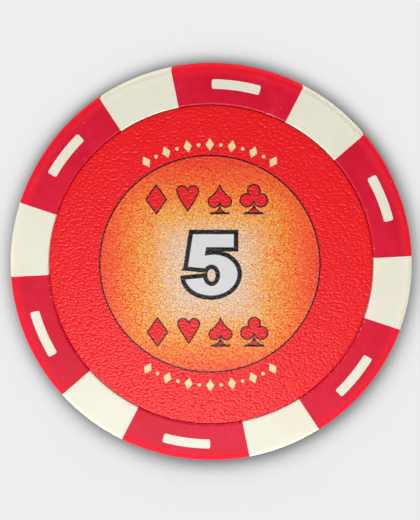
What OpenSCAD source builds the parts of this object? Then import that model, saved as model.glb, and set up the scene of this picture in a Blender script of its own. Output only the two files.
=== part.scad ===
// Poker chip: a steel slug trapped in a cream first moulding, a red second
// moulding round both, and a layered label in a shallow recess on each face.
// The chip lies on its back rim, with the origin under its centre and +Y up the front label.

/* [Chip] */
// Outside diameter of the chip
chip_d = 39; // [36:0.1:44]
// Thickness over the two rims
chip_t = 3.3; // [3:0.05:4.5]
// Radius of the rounded outer edges
edge_r = 0.4; // [0.3:0.05:1.2]
// Width of the raised rim, from the recess wall to the outside
rim_w = 3.72; // [3.3:0.01:4.6]
// Radius on the inner edge of the rim
lip_r = 0.2; // [0.05:0.01:0.24]
// Depth of the label recess in each face
recess_depth = 0.3; // [0.25:0.01:0.4]

/* [Edge spots] */
// Number of edge spots, and of dashes between them
spot_count = 6; // [4:1:8]
// Angle that one edge spot covers
spot_angle = 21.83; // [12:0.01:26]
// Turn of the first edge spot from the +X axis
spot_turn = 52.11; // [0:0.01:90]
// How far a spot's foot runs in under the edge of the label
spot_foot = 0.4; // [0.2:0.01:0.6]

/* [Dashes] */
// Length of a dash along its middle line
dash_len = 4.67; // [3:0.01:5.6]
// Width of a dash across its middle line
dash_w = 0.92; // [0.5:0.01:1.4]
// Distance from the outside of the chip in to the middle line of the dashes
dash_inset = 1.72; // [1.5:0.01:2]
// Radius on the corners of a dash
dash_corner_r = 0.18; // [0.05:0.01:0.24]

/* [Core] */
// How far the edge of the steel slug lies inside the recess wall
slug_inset = 0.53; // [0.3:0.01:2.5]
// Thickness of the slug, and of the cream ring moulded round it
core_t = 1.5; // [1:0.05:1.7]
// Chamfer on both edges of the slug, which the ring's lips close over
slug_chamfer = 0.25; // [0.1:0.01:0.4]
// Gap between the slug and the ring, left by the moulding's shrinkage
slug_gap = 0.03; // [0.01:0.01:0.1]
// How far the cream ring reaches out past the dashes that it carries
ring_margin = 0.2; // [0.1:0.01:0.3]

/* [Labels] */
// Gap between the edge of a label and the recess wall
label_gap = 0.07; // [0.05:0.01:0.3]
// Thickness of the adhesive under a label
adhesive_t = 0.04; // [0.02:0.01:0.06]
// Thickness of the printed film
film_t = 0.12; // [0.06:0.01:0.13]
// Thickness of the clear embossed laminate over the print
laminate_t = 0.06; // [0.03:0.01:0.07]

/* [Hidden] */
$fn = 180;

// Radii from the middle outwards
chip_r = chip_d / 2;
recess_r = chip_r - rim_w;
label_r = recess_r - label_gap;
slug_r = recess_r - slug_inset;
spot_inner_r = recess_r - spot_foot;
dash_r = chip_r - dash_inset;
dash_inner_r = dash_r - dash_w / 2;
dash_outer_r = dash_r + dash_w / 2;
ring_r = dash_outer_r + ring_margin;

// Heights from the back rim upwards
core_z = (chip_t - core_t) / 2;
front_floor_z = chip_t - recess_depth;

// Angles round the chip
pitch = 360 / spot_count;
dash_half = dash_len / dash_r * 90 / PI;
outer_turn = dash_half - asin(dash_corner_r / (dash_outer_r - dash_corner_r));
inner_turn = dash_half - asin(dash_corner_r / (dash_inner_r + dash_corner_r));

// Straight steps along a dash's long arcs and round its corners
arc_steps = 8;
corner_steps = 4;

// How far a cutting shape runs past the faces that it cuts
overrun = 1;

red = [0.76, 0.07, 0.13];
cream = [0.91, 0.89, 0.79];
steel = [0.55, 0.57, 0.6];
glue = [0.9, 0.87, 0.7];
print_red = [0.87, 0.13, 0.14];
clear_film = [1, 0.9, 0.88, 0.35];

// Section of the rim, with round corners outside and small ones at the recess
module rim_section() {
    translate([recess_r, lip_r])
        square([rim_w - edge_r, chip_t - 2 * lip_r]);
    translate([recess_r + lip_r, 0])
        square([rim_w - lip_r - edge_r, chip_t]);
    translate([chip_r - edge_r, edge_r])
        square([edge_r, chip_t - 2 * edge_r]);
    for (z = [edge_r, chip_t - edge_r])
        translate([chip_r - edge_r, z])
            circle(edge_r);
    for (z = [lip_r, chip_t - lip_r])
        translate([recess_r + lip_r, z])
            circle(lip_r);
}

// The whole chip without its labels: the rim, and the web between the two recesses
module chip_form() {
    rotate_extrude() {
        rim_section();
        translate([0, recess_depth])
            square([recess_r + lip_r, chip_t - 2 * recess_depth]);
    }
}

// Space of the edge spots, run past the outside and both faces
module spot_space() {
    for (i = [0 : spot_count - 1])
        rotate(spot_turn + i * pitch - spot_angle / 2)
            rotate_extrude(angle = spot_angle)
                translate([spot_inner_r, -overrun])
                    square([chip_r + overrun - spot_inner_r, chip_t + 2 * overrun]);
}

// Point at a radius and an angle
function polar(r, turn) = r * [cos(turn), sin(turn)];

// Points along an arc about a middle, with some left out at both ends
function arc(middle, r, from, to, steps, skip = 0) =
    [for (i = [skip : steps - skip]) middle + polar(r, from + (to - from) * i / steps)];

// Round where a dash's end meets its outer side or its inner side; way is 1 or -1, for the end
function outer_corner(from, to, way) =
    arc(polar(dash_outer_r - dash_corner_r, way * outer_turn), dash_corner_r, from, to, corner_steps);
function inner_corner(from, to, way) =
    arc(polar(dash_inner_r + dash_corner_r, way * inner_turn), dash_corner_r, from, to, corner_steps);

// Outline of a dash about the angle 0: two long arcs, radial ends and round corners
function dash_outline() = concat(
    arc([0, 0], dash_outer_r, -outer_turn, outer_turn, arc_steps, skip = 1),
    outer_corner(outer_turn, 90 + dash_half, 1),
    inner_corner(90 + dash_half, 180 + inner_turn, 1),
    arc([0, 0], dash_inner_r, inner_turn, -inner_turn, arc_steps, skip = 1),
    inner_corner(180 - inner_turn, 270 - dash_half, -1),
    outer_corner(270 - dash_half, 360 - outer_turn, -1)
);

// Space of the dashes, halfway between the spots and run past both faces
module dash_space() {
    for (i = [0 : spot_count - 1])
        rotate(spot_turn + (i + 0.5) * pitch)
            translate([0, 0, -overrun])
                linear_extrude(chip_t + 2 * overrun)
                    polygon(dash_outline());
}

// Disc between the two red skins, which the slug and the cream ring fill
module core_space() {
    translate([0, 0, core_z])
        cylinder(r = ring_r, h = core_t);
}

// Slug with chamfered edges, grown at its edge by a gap
module slug_form(gap) {
    edge = slug_r + gap;
    translate([0, 0, core_z])
        rotate_extrude()
            polygon([
                [0, 0],
                [edge - slug_chamfer, 0],
                [edge, slug_chamfer],
                [edge, core_t - slug_chamfer],
                [edge - slug_chamfer, core_t],
                [0, core_t]
            ]);
}

// One layer of the front label, at a height above the recess floor
module label_layer(height, thickness) {
    translate([0, 0, front_floor_z + height])
        cylinder(r = label_r, h = thickness);
}

// The same on the back face
module on_back() {
    translate([0, 0, chip_t])
        mirror([0, 0, 1])
            children();
}

// Punched steel disc that gives the chip its weight
module steel_slug() {
    color(steel)
        slug_form(0);
}

// First shot: a hidden ring that traps the slug, with the spots and dashes standing on it
module cream_skeleton() {
    color(cream)
        difference() {
            union() {
                core_space();
                intersection() {
                    chip_form();
                    union() {
                        spot_space();
                        dash_space();
                    }
                }
            }
            slug_form(slug_gap);
        }
}

// Second shot: the skin on both faces, joined round the ring between the spots
module red_body() {
    color(red)
        difference() {
            chip_form();
            spot_space();
            dash_space();
            core_space();
        }
}

module front_label_adhesive() {
    color(glue)
        label_layer(0, adhesive_t);
}

module front_label_film() {
    color(print_red)
        label_layer(adhesive_t, film_t);
}

module front_label_laminate() {
    color(clear_film)
        label_layer(adhesive_t + film_t, laminate_t);
}

module back_label_adhesive() {
    on_back()
        front_label_adhesive();
}

module back_label_film() {
    on_back()
        front_label_film();
}

module back_label_laminate() {
    on_back()
        front_label_laminate();
}

steel_slug();
cream_skeleton();
red_body();
front_label_adhesive();
front_label_film();
front_label_laminate();
back_label_adhesive();
back_label_film();
back_label_laminate();
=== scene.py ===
import math

import bpy
from mathutils import Matrix, Vector


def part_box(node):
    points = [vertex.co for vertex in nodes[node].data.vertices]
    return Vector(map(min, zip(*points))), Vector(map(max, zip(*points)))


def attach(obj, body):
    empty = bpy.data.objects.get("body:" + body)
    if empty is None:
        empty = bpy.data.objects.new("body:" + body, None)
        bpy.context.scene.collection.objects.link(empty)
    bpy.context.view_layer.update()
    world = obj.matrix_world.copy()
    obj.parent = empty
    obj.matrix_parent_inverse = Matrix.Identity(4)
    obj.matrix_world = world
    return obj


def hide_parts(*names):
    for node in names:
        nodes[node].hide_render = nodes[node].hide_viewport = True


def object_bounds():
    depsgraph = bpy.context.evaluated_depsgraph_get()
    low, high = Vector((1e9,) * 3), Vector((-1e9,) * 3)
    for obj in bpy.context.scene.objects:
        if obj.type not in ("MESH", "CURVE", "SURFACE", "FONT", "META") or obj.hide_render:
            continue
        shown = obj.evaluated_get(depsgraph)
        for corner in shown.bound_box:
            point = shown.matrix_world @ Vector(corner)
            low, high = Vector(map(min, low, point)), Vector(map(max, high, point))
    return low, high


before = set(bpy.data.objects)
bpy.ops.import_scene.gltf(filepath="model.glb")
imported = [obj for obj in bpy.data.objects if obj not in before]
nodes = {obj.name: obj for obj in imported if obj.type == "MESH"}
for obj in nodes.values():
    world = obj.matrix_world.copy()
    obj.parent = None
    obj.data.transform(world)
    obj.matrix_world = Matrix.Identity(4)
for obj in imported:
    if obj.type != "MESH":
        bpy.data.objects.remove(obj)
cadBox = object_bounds()
mm = 0.001
labelGap = 0.07  # from the label to the wall of its recess, in millimetres

# sizes read from the frame, in millimetres
chip = {
    "radius": cadBox[1][0] / mm,
    "thick": cadBox[1][2] / mm,
    "recess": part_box("front_label_film")[1][0] / mm + labelGap,  # radius of the recess
}
print("frame loaded:", len(nodes), "nodes")


class Wire:  # a node socket; sums on it add Math nodes to the same tree
    def __init__(self, tree, socket=None):
        self.tree = tree
        self.socket = socket

    def add(self, kind, settings=None, values=None, out=0):
        node = self.tree.nodes.new(kind)
        for name, value in (settings or {}).items():
            if name == "stops":
                setStops(node.color_ramp, value)
            else:
                setattr(node, name, value)
        for name, value in (values or {}).items():
            if isinstance(value, Wire):
                self.tree.links.new(value.socket, node.inputs[name])
            else:
                node.inputs[name].default_value = value
        return Wire(self.tree, node.outputs[out]) if len(node.outputs) else node

    def maths(self, operation, *terms):
        return self.add("ShaderNodeMath", {"operation": operation}, dict(enumerate(terms)))

    def vector(self, operation, values, out=0):
        return self.add("ShaderNodeVectorMath", {"operation": operation}, values, out)

    def mix(self, factor, first, second):  # two colours
        return self.add("ShaderNodeMix", {"data_type": "RGBA"}, {0: factor, 6: first, 7: second}, 2)

    def __add__(self, other):
        return self.maths("ADD", self, other)

    def __sub__(self, other):
        return self.maths("SUBTRACT", self, other)

    def __rsub__(self, other):
        return self.maths("SUBTRACT", other, self)

    def __mul__(self, other):
        return self.maths("MULTIPLY", self, other)

    def __truediv__(self, other):
        return self.maths("DIVIDE", self, other)

    def __neg__(self):
        return self.maths("MULTIPLY", self, -1.0)

    def __abs__(self):
        return self.maths("ABSOLUTE", self)

    def __pow__(self, other):
        return self.maths("POWER", self, other)

    def __gt__(self, other):
        return self.maths("GREATER_THAN", self, other)

    def __lt__(self, other):
        return self.maths("LESS_THAN", self, other)

    __radd__ = __add__
    __rmul__ = __mul__


def setStops(ramp, stops):
    while len(ramp.elements) < len(stops):
        ramp.elements.new(0.5)
    for element, (place, colour) in zip(ramp.elements, stops):
        element.position = place
        element.color = (*colour, 1.0)


def least(first, *others):
    for other in others:
        first = first.maths("MINIMUM", first, other)
    return first


def most(first, *others):
    for other in others:
        first = first.maths("MAXIMUM", first, other)
    return first


def root(value):
    return value.maths("SQRT", value)


def reach(x, y):  # distance of (x, y) from the middle
    return root(x * x + y * y)


def choose(mask, yes, no):
    return no + mask * (yes - no)


def ease(value, low, high):  # smooth 0 to 1 as value goes from low to high
    return value.add(
        "ShaderNodeMapRange",
        {"interpolation_type": "SMOOTHSTEP"},
        {"Value": value, "From Min": low, "From Max": high},
    )


def noise(place, scale, detail=2.0, rough=0.5, out=0):
    return place.add(
        "ShaderNodeTexNoise",
        {"noise_dimensions": "3D"},
        {"Vector": place, "Scale": scale, "Detail": detail, "Roughness": rough},
        out,
    )


def stretch(place, turn, sizes):  # turn a place about Z, then stretch it
    return place.add(
        "ShaderNodeMapping",
        {"vector_type": "POINT"},
        {"Vector": place, "Rotation": (0.0, 0.0, turn), "Scale": sizes},
    )


def startMaterial(name):
    material = bpy.data.materials.new(name)
    material.use_nodes = True
    material.node_tree.nodes.clear()
    wire = Wire(material.node_tree)
    coords = wire.add("ShaderNodeTexCoord", out="Object")
    return material, coords.vector("SCALE", {0: coords, "Scale": 1.0 / mm})  # place in millimetres


def layer(place, colour, roughness, height, depth, gloss=0.5, metal=0.0):
    bump = place.add("ShaderNodeBump", None, {"Height": height, "Distance": depth * mm})
    return place.add("ShaderNodeBsdfPrincipled", None, {
        "Base Color": colour,
        "Roughness": roughness,
        "Metallic": metal,
        "Normal": bump,
        "Specular IOR Level": gloss,
    })


def blend(place, share, first, second):  # two layers in one surface
    return place.add("ShaderNodeMixShader", None, {0: share, 1: first, 2: second})


def finishMaterial(place, surface):
    place.add("ShaderNodeOutputMaterial", None, {"Surface": surface})


def split(place):
    node = place.add("ShaderNodeSeparateXYZ", None, {"Vector": place}).socket.node
    return [Wire(place.tree, socket) for socket in node.outputs]


# the two mouldings of the rim
redShot = {
    "name": "redPlastic",
    "dark": (0.63, 0.0045, 0.027, 1.0),
    "light": (0.71, 0.0075, 0.040, 1.0),
    "speck": (0.80, 0.20, 0.26, 1.0),
    # painted glow: brighter red at the outer edge, standing in for light through the thin edge and on
    # its rounding
    "edge": (0.92, 0.012, 0.033, 1.0),
    "lint": (0.86, 0.62, 0.62, 1.0),
    "dust": 0.5,  # how much lint lies along the lip of the recess
    "rough": 0.28,
}
creamShot = {
    "name": "creamPlastic",
    "dark": (0.80, 0.77, 0.63, 1.0),
    "light": (0.83, 0.805, 0.67, 1.0),
    "speck": (0.55, 0.46, 0.28, 1.0),
    # painted glow: brighter cream at the outer edge, standing in for light through the thin edge and on
    # its rounding
    "edge": (0.85, 0.82, 0.665, 1.0),
    "lint": (0.52, 0.42, 0.26, 1.0),
    "dust": 0.35,
    "rough": 0.29,
}

# wear and painted edge glow of both; a pair is how many millimetres in from the outer edge a change
# starts and is full
rimWearAndPaintedGlow = {
    "glow": (1.25, -0.1),  # painted glow: the colour brightens towards the outer edge, standing in for light through the thin edge and on its rounding
    "worn": (0.5, 0.0),
    "dull": (0.6, 0.15),  # rubbed by hands and racks
    "dullMost": 0.8,
    "speckRadius": 0.075,
    "specks": 0.55,  # how strongly the marks show
    "scuffs": 0.13,
    "hairs": 0.07,
    "hairlines": ((0.5, 3.1), (-0.9, 11.7), (1.9, 23.0)),  # direction, and a shift of the pattern
    "gloss": 0.20,
    "bump": 0.008,
}


def towardsEdge(radius, start, full):
    return ease(radius, chip["radius"] - start, chip["radius"] - full)


def scratchLines(place, turn, shift):  # thin straight hairlines along one direction
    shifted = place.vector("ADD", {0: place, 1: (shift, shift * 0.7, 0.0)})
    lines = noise(stretch(shifted, turn, (0.22, 11.0, 1.0)), scale=1.0, detail=1.0)
    patches = noise(shifted, scale=0.55, detail=1.0)
    return ease(lines, 0.70, 0.76) * ease(patches, 0.55, 0.70)


def lipDust(place, radius):  # lint caught here and there along the lip of the recess
    nearLip = 1.0 - ease(abs(radius - chip["recess"] - 0.05), 0.06, 0.16)
    grains = noise(place, scale=3.6, detail=2.0, rough=0.6)
    patches = noise(place, scale=0.16, detail=1.0)
    return nearLip * ease(grains, 0.60, 0.68) * ease(patches, 0.46, 0.54)


def mouldedPlastic(look):
    material, place = startMaterial(look["name"])
    x, y = split(place)[:2]
    radius = reach(x, y)
    mottle = noise(place, scale=0.22, detail=3.0, rough=0.55)
    cloud = noise(place, scale=1.3, detail=3.0, rough=0.6)
    grit = noise(place, scale=7.0)
    paintedEdgeGlow = towardsEdge(radius, *rimWearAndPaintedGlow["glow"])
    edgeWear = towardsEdge(radius, *rimWearAndPaintedGlow["worn"]) * ease(cloud, 0.4, 0.65)
    cells = place.add("ShaderNodeTexVoronoi", None, {"Vector": place, "Scale": 0.85})
    chance = Wire(place.tree, cells.socket.node.outputs["Color"])
    specks = ease(rimWearAndPaintedGlow["speckRadius"] - cells, 0.0, 0.05) * (split(chance)[0] > 0.55)
    scuffs = ease(noise(place, scale=0.9, detail=5.0, rough=0.75), 0.57, 0.75)  # cloudy rubbed patches
    hairs = most(*[scratchLines(place, turn, shift) for turn, shift in rimWearAndPaintedGlow["hairlines"]])

    tone = ease(mottle * 0.65 + cloud * 0.35, 0.36, 0.64)
    colour = place.mix(tone, look["dark"], look["light"])
    # painted glow: the colour brightens towards the outer edge in place of light through the thin edge
    # and on its rounding
    colour = place.mix(paintedEdgeGlow, colour, look["edge"])
    colour = place.mix(specks * rimWearAndPaintedGlow["specks"], colour, look["speck"])
    colour = place.mix(scuffs * rimWearAndPaintedGlow["scuffs"], colour, look["speck"])
    colour = place.mix(lipDust(place, radius) * look["dust"], colour, look["lint"])
    colour = place.mix(hairs * rimWearAndPaintedGlow["hairs"], colour, look["speck"])

    roughness = look["rough"] + 0.10 * cloud + 0.08 * hairs + 0.10 * scuffs
    roughness = roughness + 0.20 * paintedEdgeGlow + 0.08 * edgeWear
    unevenness = (0.18 * cloud + 0.05 * grit) * (1.0 - 0.8 * paintedEdgeGlow)
    height = 0.5 * mottle + unevenness + 0.25 * specks - 0.30 * hairs
    shiny = layer(place, colour, roughness, height, rimWearAndPaintedGlow["bump"], rimWearAndPaintedGlow["gloss"])
    rubbed = layer(place, colour, roughness, height, rimWearAndPaintedGlow["bump"], 0.0)
    dull = towardsEdge(radius, *rimWearAndPaintedGlow["dull"]) * rimWearAndPaintedGlow["dullMost"]
    finishMaterial(place, blend(place, dull, shiny, rubbed))
    return material


# the printed label: places and sizes in millimetres from the middle of the chip
labelArt = {
    "offCentre": (-0.093, 0.036),  # how far the print lies from the middle of the chip
    "ringCentre": (-0.02, 0.128),
    "ringRadius": 10.70,
    "ringLine": 0.15,
    "band": (0.84, 0.0060, 0.0105, 1.0),
    "suitRed": (0.78, 0.0075, 0.0125, 1.0),
    "black": (0.004, 0.004, 0.006, 1.0),
    "white": (0.68, 0.68, 0.70, 1.0),
    "cream": (0.80, 0.68, 0.36, 1.0),
    "glowCentre": (-0.08, -0.62),
    "glowSquare": 5.0,  # 2 would be a circle, and more is nearer to a square
    "glow": [  # from the middle to the ring
        (0.00, (0.74, 0.56, 0.44)),
        (0.33, (0.78, 0.50, 0.31)),
        (0.52, (0.83, 0.35, 0.080)),
        (0.70, (0.85, 0.212, 0.026)),
        (0.85, (0.86, 0.110, 0.022)),
        (1.00, (0.84, 0.056, 0.018)),
    ],
    "dots": (0.24, 5.0, 8.0),  # strength of the print's dots in red, green and blue
}

# the two rows of card suits
suits = {
    "rowUp": 6.55,
    "rowDown": -6.55,
    "downShift": 0.05,  # the lower row lies a little to the right
    "at": (-5.185, -2.14, 0.965, 4.25),
    "line": 0.14,
    "diamond": (1.08, 1.55),  # half its width and height
    "diamondSlope": 0.886,  # makes its line as wide as the others
    "heartUp": 0.81,
    "heart": {"lobe": 0.59, "spread": 0.54, "tip": 2.03, "bend": 10.7},
    "spadeUp": -0.22,
    "spade": {"lobe": 0.62, "spread": 0.565, "tip": 1.78, "bend": -2.7},
    "clubLobes": ((0.0, 0.86, 0.665), (0.68, -0.09, 0.715), (0.0, 0.25, 0.50)),  # out, up and radius
    "clubLift": 0.09,
    "footLow": -1.46,  # where the spade and the club stand
    "footStem": 0.06,  # half the width of the foot at its top
    "footFlare": 0.86,
    "footBend": 2.5,
    "barHalf": 0.93,
    "barThick": 0.22,
}


# two round lobes drawn down to a point by arcs of radius bend
def leafShape(x, y, lobe, spread, tip, bend):
    point = Vector((0.0, -tip))
    ball = Vector((spread, 0.0))
    swell = math.copysign(1.0, bend)  # 1 for bulging flanks, -1 for hollow ones
    far = abs(bend)
    across = ball - point
    along = (across.length_squared + far ** 2 - (far - swell * lobe) ** 2) / (2 * across.length)
    aside = math.sqrt(far ** 2 - along ** 2) * swell
    middle = point + (across * along + Vector((-across.y, across.x)) * aside) / across.length
    away = (ball - middle).normalized() * swell
    side = abs(x)
    lobes = reach(side - spread, y) - lobe
    flank = (reach(side - middle.x, y - middle.y) - far) * swell
    beside = y * away.x - (side - spread) * away.y  # past the point where the lobe takes over
    cleft = 0.8 * math.sqrt(lobe ** 2 - spread ** 2)
    return least(lobes, most(flank, beside, y - cleft, -tip - y))


def footShape(x, rise, lift):  # flared foot of the spade or the club
    taper = most(1.0 + lift - rise, 0.0)
    half = suits["footStem"] + suits["footFlare"] * taper ** suits["footBend"]
    return most((abs(x) - half) * 0.75, -rise, rise - 1.0)


def suitRow(x, y):  # the four suits, and the bars under two of them
    diamondX, heartX, spadeX, clubX = [x - at for at in suits["at"]]
    rise = y - suits["footLow"]
    wide, high = suits["diamond"]
    diamond = (abs(diamondX) / wide + abs(y) / high - 1.0) * suits["diamondSlope"]
    heart = leafShape(heartX, y - suits["heartUp"], **suits["heart"])
    leaf = leafShape(spadeX, -(y - suits["spadeUp"]), **suits["spade"])
    spade = least(leaf, footShape(spadeX, rise, 0.0))
    lobes = [reach(abs(clubX) - out, y - up) - radius for out, up, radius in suits["clubLobes"]]
    club = least(*lobes, footShape(clubX, rise, suits["clubLift"]))
    across = least(abs(spadeX), abs(clubX)) - suits["barHalf"]
    bars = most(across, abs(rise - suits["barThick"] / 2) - suits["barThick"] / 2)
    return least(diamond, heart, spade, club), bars


# the heavy five; a slanted side is where it runs, at what height or x, and its slope
numeral = {
    "line": 0.446,  # black outline
    "top": 3.13,
    "barLow": 1.86,
    "barRight": 2.31,
    "left": (-1.64, 3.13, 0.155),
    "leftScale": 0.988,
    "stemRight": (-0.40, 1.7, 0.16),
    "stemLow": (-0.14, -1.3, -0.10),
    "mouthRight": 0.1,
    "mouthLow": (-1.255, -1.5, 0.103),
    "bowlMiddle": (0.25, -0.9, 0.06),
    "bowlHalves": (2.68, 2.41),  # to the left and to the right
    "bowlHigh": 2.015,
    "bowlFree": -0.7,  # below this the bowl may pass the stem's left side
    "counterAt": (0.145, -0.915),
    "counter": (0.835, 1.066),
}


def slant(value, at, start, slope):
    return at + (value - start) * slope


def ovalShape(x, y, wide, high):
    near = reach(x / wide, y / high)
    return near * (near - 1.0) / reach(x / wide ** 2, y / high ** 2)


def fiveShape(x, y):  # bar, leaning stem and open bowl
    left = (slant(y, *numeral["left"]) - x) * numeral["leftScale"]
    bar = most(y - numeral["top"], numeral["barLow"] - y, left, x - numeral["barRight"])
    stemLow = slant(x, *numeral["stemLow"])
    stem = most(y - numeral["top"], stemLow - y, left, x - slant(y, *numeral["stemRight"]))
    mouth = most(x - numeral["mouthRight"], y - stemLow, slant(x, *numeral["mouthLow"]) - y)
    bowlX = x - slant(y, *numeral["bowlMiddle"])
    bowlY = y - numeral["bowlMiddle"][1]
    wideLeft, wideRight = numeral["bowlHalves"]
    outside = ovalShape(bowlX, bowlY, choose(bowlX > 0.0, wideRight, wideLeft), numeral["bowlHigh"])
    counterX, counterY = numeral["counterAt"]
    counter = ovalShape(x - counterX, y - counterY, *numeral["counter"])
    bowl = most(outside, -counter, -mouth, least(left, y - numeral["bowlFree"]))
    return least(bar, stem, bowl)


# lozenges and dots along an arc above and below the ring
beads = {
    "radius": 11.9,
    "pitch": math.radians(5.15),
    "reach": math.radians(34.0),
    "lozenge": (0.40, 0.60),  # half its width and height
    "dot": 0.17,
}


def beadChain(x, y):
    turn = x.maths("ARCTAN2", abs(y), x) - math.pi / 2
    count = turn / beads["pitch"]
    cell = count.maths("ROUND", count)
    across = (count - cell) * beads["pitch"] * beads["radius"]
    out = reach(x, y) - beads["radius"]
    wide, high = beads["lozenge"]
    lozenge = abs(across) / wide + abs(out) / high - 1.0
    dot = reach(across, out) / beads["dot"] - 1.0
    odd = cell.maths("PINGPONG", cell, 1.0)
    return choose(odd > 0.5, dot, lozenge) + 9.0 * (abs(turn) > beads["reach"])  # none past the ends


def ink(distance, spread=0.03):  # 1 inside a shape, with a slightly soft edge
    return ease(-distance, -spread, spread)


def glowColour(place, x, y):  # pale middle running out to orange, broken into small dots
    outX = abs(x - labelArt["glowCentre"][0]) / labelArt["ringRadius"]
    outY = abs(y - labelArt["glowCentre"][1]) / labelArt["ringRadius"]
    power = labelArt["glowSquare"]
    spread = (outX ** power + outY ** power) ** (1.0 / power)
    glow = place.add("ShaderNodeValToRGB", {"stops": labelArt["glow"]}, {"Fac": spread})
    dots = noise(place, scale=7.5, detail=1.0, rough=0.6, out="Color")
    light, warm, cool = split(place.vector("SUBTRACT", {0: dots, 1: (0.5, 0.5, 0.5)}))
    red, green, blue = labelArt["dots"]
    pale = 1.0 - ease(spread, 0.3, 0.7)  # the dots are fainter in the middle
    greenDots = 0.6 * light + (0.8 - 0.5 * pale) * warm
    blueDots = (0.1 + 0.3 * pale) * light + (0.65 - 0.3 * pale) * warm + 0.75 * cool
    tone = place.add("ShaderNodeCombineXYZ", None, {
        "X": light * (red + 0.95 * pale),
        "Y": greenDots * (green - 1.2 * pale),
        "Z": blueDots * (blue - 2.4 * pale),
    })
    tone = place.vector("MULTIPLY", {0: glow, 1: tone})
    return place.vector("MAXIMUM", {0: place.vector("ADD", {0: glow, 1: tone}), 1: (0.0, 0.0, 0.0)})


def printedColour(place):
    x, y, z = split(place)
    facing = choose(z > chip["thick"] / 2, 1.0, -1.0)  # so that the back reads right too
    x = x * facing - labelArt["offCentre"][0]
    y = y - labelArt["offCentre"][1]
    ringX, ringY = labelArt["ringCentre"]
    fromRing = reach(x - ringX, y - ringY) - labelArt["ringRadius"]
    colour = place.mix(ink(fromRing), labelArt["band"], glowColour(place, x, y))
    colour = place.mix(ink(beadChain(x, y), 0.05), colour, labelArt["cream"])
    colour = place.mix(ink(abs(fromRing) - labelArt["ringLine"] / 2), colour, labelArt["black"])
    upper = y > 0.0
    rowX = x - choose(upper, 0.0, suits["downShift"])
    rowY = y - choose(upper, suits["rowUp"], suits["rowDown"])
    row, bars = suitRow(rowX, rowY)
    colour = place.mix(ink(row), colour, labelArt["black"])
    colour = place.mix(ink(row + suits["line"]), colour, labelArt["suitRed"])
    colour = place.mix(ink(bars), colour, labelArt["black"])
    five = fiveShape(x, y)
    colour = place.mix(ink(five - numeral["line"]), colour, labelArt["black"])
    return place.mix(ink(five), colour, labelArt["white"])


# the clear layer over the print, pressed with a fine leather grain
embossing = {
    "grain": 4.5,  # pillows in a millimetre
    "squeeze": (0.74, 1.0, 1.0),  # makes them a little wider across the label
    "relief": 0.005,  # depth of the grain in the mesh
    "crest": 0.016,  # height of the pillows in the clear layer
    "printCrest": 0.003,  # and of the print beneath them
    "clearShare": 0.36,
    "rough": 0.23,
    "round": 0.25,  # how far in from the rim of the label it is rounded
    "steps": 300,  # squares of the grid across the face
}


def leatherGrain(place):
    cells = place.add("ShaderNodeTexVoronoi", {"voronoi_dimensions": "2D"}, {
        "Vector": place.vector("MULTIPLY", {0: place, 1: embossing["squeeze"]}),
        "Scale": embossing["grain"],
    })
    return 1.0 - cells * cells


def laminateMaterial():
    material, place = startMaterial("embossedLaminate")
    colour = printedColour(place)
    fine = noise(place, scale=9.0)
    smear = noise(place, scale=0.35, detail=3.0, rough=0.6)
    roughness = embossing["rough"] + 0.06 * smear + 0.02 * fine
    height = leatherGrain(place) + 0.01 * fine
    inked = layer(place, colour, roughness, height, embossing["printCrest"], 0.0)
    clear = layer(place, colour, roughness, height, embossing["crest"], 1.0)
    finishMaterial(place, blend(place, embossing["clearShare"], inked, clear))
    return material


filmLook = {"rough": 0.5, "bump": 0.004}


def filmMaterial():
    material, place = startMaterial("printedFilm")
    colour = printedColour(place)
    tooth = noise(place, scale=12.0)
    roughness = filmLook["rough"] + 0.1 * tooth
    finishMaterial(place, layer(place, colour, roughness, tooth, filmLook["bump"]))
    return material


slugLook = {
    "dark": (0.30, 0.30, 0.31, 1.0),
    "light": (0.46, 0.47, 0.48, 1.0),
    "rough": 0.3,
    "bump": 0.01,
}


def steelMaterial():
    material, place = startMaterial("punchedSteel")
    brushed = noise(stretch(place, 0.35, (0.3, 14.0, 1.0)), scale=1.0, detail=3.0)
    stain = noise(place, scale=0.3, detail=4.0, rough=0.6)
    tone = ease(0.6 * brushed + 0.4 * stain, 0.3, 0.7)
    colour = place.mix(tone, slugLook["dark"], slugLook["light"])
    roughness = slugLook["rough"] + 0.2 * stain
    finishMaterial(place, layer(place, colour, roughness, brushed, slugLook["bump"], metal=1.0))
    return material


glueLook = {
    "dark": (0.70, 0.64, 0.44, 1.0),
    "light": (0.80, 0.76, 0.60, 1.0),
    "rough": 0.45,
    "bump": 0.01,
}


def adhesiveMaterial():
    material, place = startMaterial("labelAdhesive")
    bubbles = noise(place, scale=1.2, detail=3.0, rough=0.6)
    colour = place.mix(ease(bubbles, 0.35, 0.65), glueLook["dark"], glueLook["light"])
    roughness = glueLook["rough"] + 0.15 * bubbles
    finishMaterial(place, layer(place, colour, roughness, bubbles, glueLook["bump"]))
    return material


def dress(names, material):
    for name in names:
        slots = nodes[name].data.materials
        slots.clear()
        slots.append(material)


dress(["red_body"], mouldedPlastic(redShot))
dress(["cream_skeleton"], mouldedPlastic(creamShot))
dress(["steel_slug"], steelMaterial())
dress(["front_label_adhesive", "back_label_adhesive"], adhesiveMaterial())
dress(["front_label_film", "back_label_film"], filmMaterial())
laminate = laminateMaterial()
print("materials made:", len(bpy.data.materials))


def squareToDisc(a, b):  # even spread of a square's grid over a disc of radius 1
    if a == 0.0 and b == 0.0:
        return 0.0, 0.0
    if abs(a) > abs(b):
        return a * math.cos(math.pi / 4 * b / a), a * math.sin(math.pi / 4 * b / a)
    return b * math.sin(math.pi / 4 * a / b), b * math.cos(math.pi / 4 * a / b)


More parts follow.
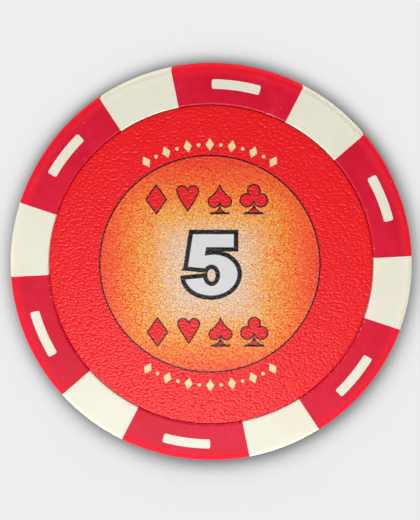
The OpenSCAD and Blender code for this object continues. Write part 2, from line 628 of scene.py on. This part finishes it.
def laminateBlank(name, node, facing):  # closed disc with a fine grid on its outward face
    low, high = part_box(node)
    outer, inner = (high[2], low[2]) if facing > 0 else (low[2], high[2])
    steps = embossing["steps"]
    side = steps + 1
    points = []
    for j in range(side):
        for i in range(side):
            a, b = squareToDisc(2.0 * i / steps - 1.0, 2.0 * j / steps - 1.0)
            points.append((a * high[0], b * high[0], outer))
    faces = []
    for j in range(steps):
        for i in range(steps):
            corner = j * side + i
            faces.append((corner, corner + 1, corner + side + 1, corner + side))
    lastRow = steps * side
    edge = list(range(steps))  # once round the rim of the grid
    edge += [steps + j * side for j in range(steps)]
    edge += [lastRow + steps - i for i in range(steps)]
    edge += [lastRow - j * side for j in range(steps)]
    floorStart = len(points)
    points += [(points[k][0], points[k][1], inner) for k in edge]
    count = len(edge)
    for k in range(count):
        after = (k + 1) % count
        faces.append((edge[k], floorStart + k, floorStart + after, edge[after]))
    faces.append(tuple(floorStart + k for k in reversed(range(count))))
    if facing < 0:
        faces = [tuple(reversed(face)) for face in faces]
    mesh = bpy.data.meshes.new(name)
    mesh.from_pydata(points, [], faces)
    mesh.polygons.foreach_set("use_smooth", [len(face) == 4 for face in faces])
    piece = bpy.data.objects.new(name, mesh)
    bpy.context.collection.objects.link(piece)
    return piece


def embossTree():
    tree = bpy.data.node_groups.new("embossLaminate", "GeometryNodeTree")
    tree.interface.new_socket("Geometry", in_out="INPUT", socket_type="NodeSocketGeometry")
    for name in ("Outward", "Face height", "Face radius", "Relief", "Edge round"):
        tree.interface.new_socket(name, in_out="INPUT", socket_type="NodeSocketFloat")
    tree.interface.new_socket("Material", in_out="INPUT", socket_type="NodeSocketMaterial")
    tree.interface.new_socket("Geometry", in_out="OUTPUT", socket_type="NodeSocketGeometry")
    start = Wire(tree).add("NodeGroupInput")
    given = {socket.name: Wire(tree, socket) for socket in start.socket.node.outputs}
    place = start.add("GeometryNodeInputPosition")
    place = place.vector("SCALE", {0: place, "Scale": 1.0 / mm})
    x, y, z = split(place)
    onFace = abs(z - given["Face height"]) < 0.02  # the outward face alone
    fromEdge = given["Face radius"] - reach(x, y)
    rounding = 1.0 - ease(fromEdge, 0.0, given["Edge round"])
    grain = leatherGrain(place)
    sink = (grain - 1.0) * given["Relief"] - rounding * rounding * given["Relief"]
    shift = place.add("ShaderNodeCombineXYZ", None, {"Z": sink * given["Outward"] * mm})
    pressed = place.add(
        "GeometryNodeSetPosition",
        None,
        {"Geometry": given["Geometry"], "Selection": onFace, "Offset": shift},
    )
    whole = place.add("GeometryNodeRealizeInstances", None, {"Geometry": pressed})
    dressed = place.add(
        "GeometryNodeSetMaterial",
        None,
        {"Geometry": whole, "Material": given["Material"]},
    )
    place.add("NodeGroupOutput", None, {"Geometry": dressed})
    return tree


def pressGrain(piece, tree, values):
    modifier = piece.modifiers.new("emboss", "NODES")
    modifier.node_group = tree
    for item in tree.interface.items_tree:
        if item.in_out == "INPUT" and item.name in values:
            modifier[item.identifier] = values[item.name]
    graph = bpy.context.evaluated_depsgraph_get()
    plain = bpy.data.meshes.new_from_object(piece.evaluated_get(graph))
    piece.modifiers.clear()
    piece.data = plain
    piece.data.name = piece.name


grainTree = embossTree()
for faceName, facing in (("front", 1.0), ("back", -1.0)):
    node = faceName + "_label_laminate"
    piece = laminateBlank(faceName + "_laminate_embossed", node, facing)
    low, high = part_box(node)
    pressGrain(piece, grainTree, {
        "Outward": facing,
        "Face height": (high[2] if facing > 0 else low[2]) / mm,
        "Face radius": high[0] / mm,
        "Relief": embossing["relief"],
        "Edge round": embossing["round"],
        "Material": laminate,
    })
    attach(piece, "root")
    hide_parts(node)
    print(piece.name, "made:", len(piece.data.polygons), "faces")


# plain pale floor, evenly lit, with a soft shade close round the chip
floorLook = {
    "size": 3.0,
    "tone": (0.858, 0.858, 0.858, 1.0),
    "dark": (0.0, 0.0, 0.0, 1.0),
    "paper": (0.80, 0.80, 0.80, 1.0),
    "shadeReach": 0.012,  # metres
    "shadeRays": 16,
    "shadeFrom": 0.23,  # share of the sky that may be hidden before the floor darkens
    "shadeSoft": 0.0012,  # how gently it starts
    "shadeDepth": 2.95,
    "shadeLean": (-0.04, 0.177, 0.985),  # deeper on the near side and to the right
    "shadeMost": 0.74,  # never darker than this, also right under the chip
    "shadeEnds": 0.585,  # how much deeper it is above and below the chip than beside it
}


def paleFloor():
    half = floorLook["size"] / 2
    corners = [(-half, -half, 0), (half, -half, 0), (half, half, 0), (-half, half, 0)]
    mesh = bpy.data.meshes.new("paleFloor")
    mesh.from_pydata(corners, [], [(0, 1, 2, 3)])
    plane = bpy.data.objects.new("paleFloor", mesh)
    bpy.context.collection.objects.link(plane)
    material, place = startMaterial("paleFloor")
    x, y = split(place)[:2]
    lean = place.add("ShaderNodeCombineXYZ", None, dict(enumerate(floorLook["shadeLean"])))
    sky = place.add(
        "ShaderNodeAmbientOcclusion",
        {"samples": floorLook["shadeRays"]},
        {"Distance": floorLook["shadeReach"], "Normal": lean},
        out="AO",
    )
    over = 1.0 - sky - floorLook["shadeFrom"]
    over = over + root(over * over + floorLook["shadeSoft"])
    depth = floorLook["shadeDepth"] * (1.0 + floorLook["shadeEnds"] * y * y / (x * x + y * y))
    shade = least(0.5 * depth * over, floorLook["shadeMost"])
    tone = place.mix(shade, floorLook["tone"], floorLook["dark"])
    lit = place.add("ShaderNodeEmission", None, {"Color": tone})
    paper = place.add("ShaderNodeBsdfDiffuse", None, {"Color": floorLook["paper"]})
    rays = place.add("ShaderNodeLightPath").socket.node.outputs
    kinds = ("Is Camera Ray", "Is Glossy Ray", "Is Transmission Ray")
    seen = [Wire(place.tree, rays[kind]) for kind in kinds]
    finishMaterial(place, blend(place, most(*seen), paper, lit))
    mesh.materials.append(material)


paleFloor()
print("floor laid")

# soft room light from low all round, and a key lamp and a large soft box on the label's lower side
roomLook = {
    "walls": 1.24,
    "farWall": 1.20,  # added towards the far side
    "ceiling": 0.03,
    "ceilingFrom": (0.40, 0.70),  # heights between which the walls fade into it
}
keyLamp = {"name": "keyLamp", "at": (-0.012, -0.108, 0.280), "size": 0.05, "watts": 0.092}
softBox = {"name": "softBox", "at": (-0.035, -0.140, 0.088), "size": 0.18, "watts": 0.295}


def roomLight():
    world = bpy.data.worlds.new("softRoom")
    world.use_nodes = True
    world.node_tree.nodes.clear()
    wire = Wire(world.node_tree)
    direction = wire.add("ShaderNodeTexCoord", out="Generated")
    y, z = split(direction)[1:]
    walls = roomLook["walls"] + roomLook["farWall"] * most(y, 0.0)
    strength = choose(ease(z, *roomLook["ceilingFrom"]), roomLook["ceiling"], walls)
    glow = wire.add("ShaderNodeBackground", None, {"Color": (1.0, 1.0, 1.0, 1.0), "Strength": strength})
    wire.add("ShaderNodeOutputWorld", None, {"Surface": glow})
    bpy.context.scene.world = world


def softLamp(look):
    lamp = bpy.data.lights.new(look["name"], "AREA")
    lamp.shape = "DISK"
    lamp.size = look["size"]
    lamp.energy = look["watts"]
    holder = bpy.data.objects.new(look["name"], lamp)
    holder.location = look["at"]
    holder.rotation_euler = Vector(look["at"]).to_track_quat("Z", "Y").to_euler()
    holder.visible_camera = False
    bpy.context.collection.objects.link(holder)


roomLight()
softLamp(keyLamp)
softLamp(softBox)
print("light set")

# long lens almost straight above, leaning to the far side so that a little of the edge shows
view = {
    "elevation": 79.3,
    "swing": 3.5,
    "distance": 0.232,
    "aside": -0.093,  # millimetres; the chip sits a little to the right in the picture
    "lens": 165.46,
    "sensor": 36.0,
    "shift": 0.0126,
}


def lookDown():
    lift = math.radians(view["elevation"])
    swing = math.radians(view["swing"])
    back = Vector((
        math.sin(swing) * math.cos(lift),
        math.cos(swing) * math.cos(lift),
        math.sin(lift),
    ))
    right = Vector((1.0, 0.0, 0.0))
    right = (right - back * right.dot(back)).normalized()
    turned = Matrix((right, back.cross(right), back)).transposed().to_4x4()
    lens = bpy.data.cameras.new("camera")
    lens.lens = view["lens"]
    lens.sensor_width = view["sensor"]
    lens.shift_y = view["shift"]
    lens.clip_start = 0.01
    camera = bpy.data.objects.new("camera", lens)
    target = Vector((view["aside"] * mm, 0.0, chip["thick"] * mm))
    camera.matrix_world = Matrix.Translation(target + back * view["distance"]) @ turned
    bpy.context.collection.objects.link(camera)
    bpy.context.scene.camera = camera


lookDown()
print("camera set")
bpy.context.scene.view_settings.view_transform = "Standard"
